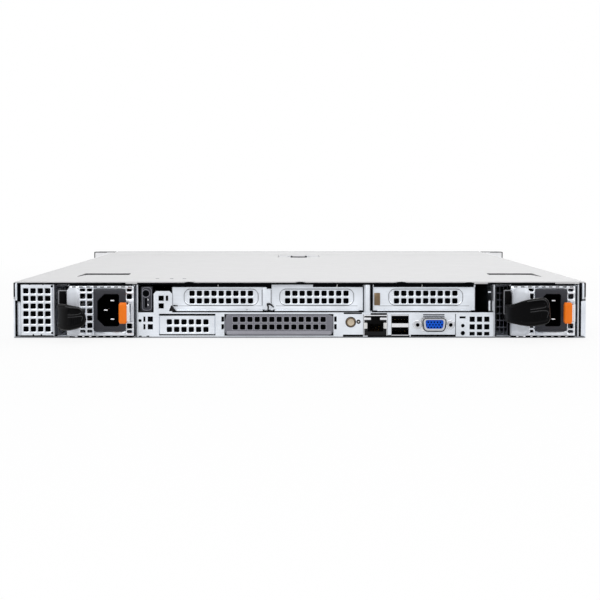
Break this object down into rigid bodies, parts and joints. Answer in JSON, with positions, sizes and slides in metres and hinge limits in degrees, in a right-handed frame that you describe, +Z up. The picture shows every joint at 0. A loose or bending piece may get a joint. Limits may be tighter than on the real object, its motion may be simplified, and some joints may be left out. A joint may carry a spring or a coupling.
{
  "type": "rack server",
  "caption": "Flat one-unit rack server with lift-off cover, sliding power supplies at the rear, expansion blanks, ports, fans and front drive carriers with swing levers.",
  "frame": {"origin": "middle of the box round the server, on its underside", "axes": "+Z up, -Y the way the rear with the power supplies faces, +Y the drive bays, +X right in the picture"},
  "size_m": [0.482, 0.8221, 0.0428],
  "materials": {
    "zinc_sheet": "zinc coated sheet, satin",
    "plain_steel": "plain turned steel",
    "cover_sheet": "zinc coated sheet, fine satin grain",
    "latch_grey": "light grey moulding",
    "dark_blank": "dark grey paint",
    "ear_black": "dark grey moulding",
    "black_plastic": "black moulding",
    "handle_black": "black moulding, fine grain",
    "port_metal": "stamped shield",
    "port_blue": "blue insert",
    "button_beige": "beige moulding",
    "button_grey": "grey moulding",
    "circuit_board": "green solder mask",
    "chip_metal": "nickel plated lid",
    "heatsink_aluminium": "bare extruded fins",
    "psu_sheet": "zinc coated sheet",
    "inlet_plastic": "dark grey moulding",
    "latch_orange": "orange moulding",
    "carrier_plastic": "dark grey moulding",
    "disk_aluminium": "cast body",
    "lever_plastic": "dark silver moulding",
    "rotor_plastic": "black moulding"
  },
  "bodies": {
    "chassis": {"cable_anchor": "black_plastic", "card_blank": "dark_blank", "drive_backplane": "circuit_board", "drive_bay_cover": "cover_sheet", "drive_cage": "zinc_sheet", "fan_frames": "black_plastic", "fasteners": "plain_steel", "floor_pan": "zinc_sheet", "heatsinks": "heatsink_aluminium", "io_panel": "zinc_sheet", "memory_modules": "circuit_board", "motherboard": "circuit_board", "network_jack": "black_plastic", "processors": "chip_metal", "psu_bay_walls": "zinc_sheet", "rack_ears": "ear_black", "rail_studs": "plain_steel", "riser_boards": "circuit_board", "riser_cages": "zinc_sheet", "side_walls": "zinc_sheet", "slot_blanks": "zinc_sheet", "small_blank": "zinc_sheet", "usb_ports": "port_metal", "vent_panel": "zinc_sheet", "video_port_insert": "port_blue", "video_port_shell": "port_metal"},
    "cover": {"top_cover": "cover_sheet"},
    "cover_latch": {"cover_latch": "latch_grey"},
    "id_button": {"id_button": "button_beige"},
    "power_button": {"power_button": "button_grey"},
    "psu_left": {"psu_case_left": "psu_sheet", "psu_inlet_left": "inlet_plastic", "psu_handle_left": "handle_black"},
    "psu_latch_left": {"psu_latch_left": "latch_orange"},
    "psu_right": {"psu_case_right": "psu_sheet", "psu_inlet_right": "inlet_plastic", "psu_handle_right": "handle_black"},
    "psu_latch_right": {"psu_latch_right": "latch_orange"},
    "drive_1": {"drive_carrier_1": "carrier_plastic", "drive_disk_1": "disk_aluminium"},
    "drive_lever_1": {"drive_lever_1": "lever_plastic"},
    "drive_button_1": {"drive_button_1": "button_grey"},
    "drive_2": {"drive_carrier_2": "carrier_plastic", "drive_disk_2": "disk_aluminium"},
    "drive_lever_2": {"drive_lever_2": "lever_plastic"},
    "drive_button_2": {"drive_button_2": "button_grey"},
    "drive_3": {"drive_carrier_3": "carrier_plastic", "drive_disk_3": "disk_aluminium"},
    "drive_lever_3": {"drive_lever_3": "lever_plastic"},
    "drive_button_3": {"drive_button_3": "button_grey"},
    "drive_4": {"drive_carrier_4": "carrier_plastic", "drive_disk_4": "disk_aluminium"},
    "drive_lever_4": {"drive_lever_4": "lever_plastic"},
    "drive_button_4": {"drive_button_4": "button_grey"},
    "fan_rotor_1": {"fan_rotor_1": "rotor_plastic"},
    "fan_rotor_2": {"fan_rotor_2": "rotor_plastic"},
    "fan_rotor_3": {"fan_rotor_3": "rotor_plastic"},
    "fan_rotor_4": {"fan_rotor_4": "rotor_plastic"},
    "fan_rotor_5": {"fan_rotor_5": "rotor_plastic"},
    "fan_rotor_6": {"fan_rotor_6": "rotor_plastic"}
  },
  "joints": [
    {"name": "cover_lift", "type": "slide", "parent": "chassis", "child": "cover", "axis": [0, 0, 1], "range_m": [0, 0.15]},
    {"name": "cover_latch_turn", "type": "hinge", "parent": "cover", "child": "cover_latch", "pos_m": [0, 0.2695, 0.04155], "axis": [-1, 0, 0], "range_deg": [0, 70]},
    {"name": "id_button_press", "type": "slide", "parent": "chassis", "child": "id_button", "axis": [0, 1, 0], "range_m": [0, 0.001], "stiffness_N_per_m": 500},
    {"name": "power_button_press", "type": "slide", "parent": "chassis", "child": "power_button", "axis": [0, -1, 0], "range_m": [0, 0.001], "stiffness_N_per_m": 500},
    {"name": "psu_slide_left", "type": "slide", "parent": "chassis", "child": "psu_left", "axis": [0, -1, 0], "range_m": [0, 0.2]},
    {"name": "psu_latch_press_left", "type": "hinge", "parent": "psu_left", "child": "psu_latch_left", "pos_m": [-0.12835, -0.337, 0.02], "axis": [0, 0, -1], "range_deg": [0, 3.5], "stiffness_Nm_per_rad": 2},
    {"name": "psu_slide_right", "type": "slide", "parent": "chassis", "child": "psu_right", "axis": [0, -1, 0], "range_m": [0, 0.2]},
    {"name": "psu_latch_press_right", "type": "hinge", "parent": "psu_right", "child": "psu_latch_right", "pos_m": [0.20615, -0.337, 0.02], "axis": [0, 0, -1], "range_deg": [0, 3.5], "stiffness_Nm_per_rad": 2},
    {"name": "drive_slide_1", "type": "slide", "parent": "chassis", "child": "drive_1", "axis": [0, 1, 0], "range_m": [0, 0.17]},
    {"name": "drive_lever_turn_1", "type": "hinge", "parent": "drive_1", "child": "drive_lever_1", "pos_m": [-0.1108, 0.4063, 0.0161], "axis": [0, 0, -1], "range_deg": [0, 55]},
    {"name": "drive_button_press_1", "type": "slide", "parent": "drive_1", "child": "drive_button_1", "axis": [0, -1, 0], "range_m": [0, 0.0015], "stiffness_N_per_m": 500},
    {"name": "drive_slide_2", "type": "slide", "parent": "chassis", "child": "drive_2", "axis": [0, 1, 0], "range_m": [0, 0.17]},
    {"name": "drive_lever_turn_2", "type": "hinge", "parent": "drive_2", "child": "drive_lever_2", "pos_m": [-0.0044, 0.4063, 0.0161], "axis": [0, 0, -1], "range_deg": [0, 55]},
    {"name": "drive_button_press_2", "type": "slide", "parent": "drive_2", "child": "drive_button_2", "axis": [0, -1, 0], "range_m": [0, 0.0015], "stiffness_N_per_m": 500},
    {"name": "drive_slide_3", "type": "slide", "parent": "chassis", "child": "drive_3", "axis": [0, 1, 0], "range_m": [0, 0.17]},
    {"name": "drive_lever_turn_3", "type": "hinge", "parent": "drive_3", "child": "drive_lever_3", "pos_m": [0.102, 0.4063, 0.0161], "axis": [0, 0, -1], "range_deg": [0, 55]},
    {"name": "drive_button_press_3", "type": "slide", "parent": "drive_3", "child": "drive_button_3", "axis": [0, -1, 0], "range_m": [0, 0.0015], "stiffness_N_per_m": 500},
    {"name": "drive_slide_4", "type": "slide", "parent": "chassis", "child": "drive_4", "axis": [0, 1, 0], "range_m": [0, 0.17]},
    {"name": "drive_lever_turn_4", "type": "hinge", "parent": "drive_4", "child": "drive_lever_4", "pos_m": [0.2084, 0.4063, 0.0161], "axis": [0, 0, -1], "range_deg": [0, 55]},
    {"name": "drive_button_press_4", "type": "slide", "parent": "drive_4", "child": "drive_button_4", "axis": [0, -1, 0], "range_m": [0, 0.0015], "stiffness_N_per_m": 500},
    {"name": "fan_spin_1", "type": "hinge", "parent": "chassis", "child": "fan_rotor_1", "pos_m": [-0.175, 0.1505, 0.0207], "axis": [0, 1, 0], "continuous": true},
    {"name": "fan_spin_2", "type": "hinge", "parent": "chassis", "child": "fan_rotor_2", "pos_m": [-0.105, 0.1505, 0.0207], "axis": [0, 1, 0], "continuous": true},
    {"name": "fan_spin_3", "type": "hinge", "parent": "chassis", "child": "fan_rotor_3", "pos_m": [-0.035, 0.1505, 0.0207], "axis": [0, 1, 0], "continuous": true},
    {"name": "fan_spin_4", "type": "hinge", "parent": "chassis", "child": "fan_rotor_4", "pos_m": [0.035, 0.1505, 0.0207], "axis": [0, 1, 0], "continuous": true},
    {"name": "fan_spin_5", "type": "hinge", "parent": "chassis", "child": "fan_rotor_5", "pos_m": [0.105, 0.1505, 0.0207], "axis": [0, 1, 0], "continuous": true},
    {"name": "fan_spin_6", "type": "hinge", "parent": "chassis", "child": "fan_rotor_6", "pos_m": [0.175, 0.1505, 0.0207], "axis": [0, 1, 0], "continuous": true}
  ]
}
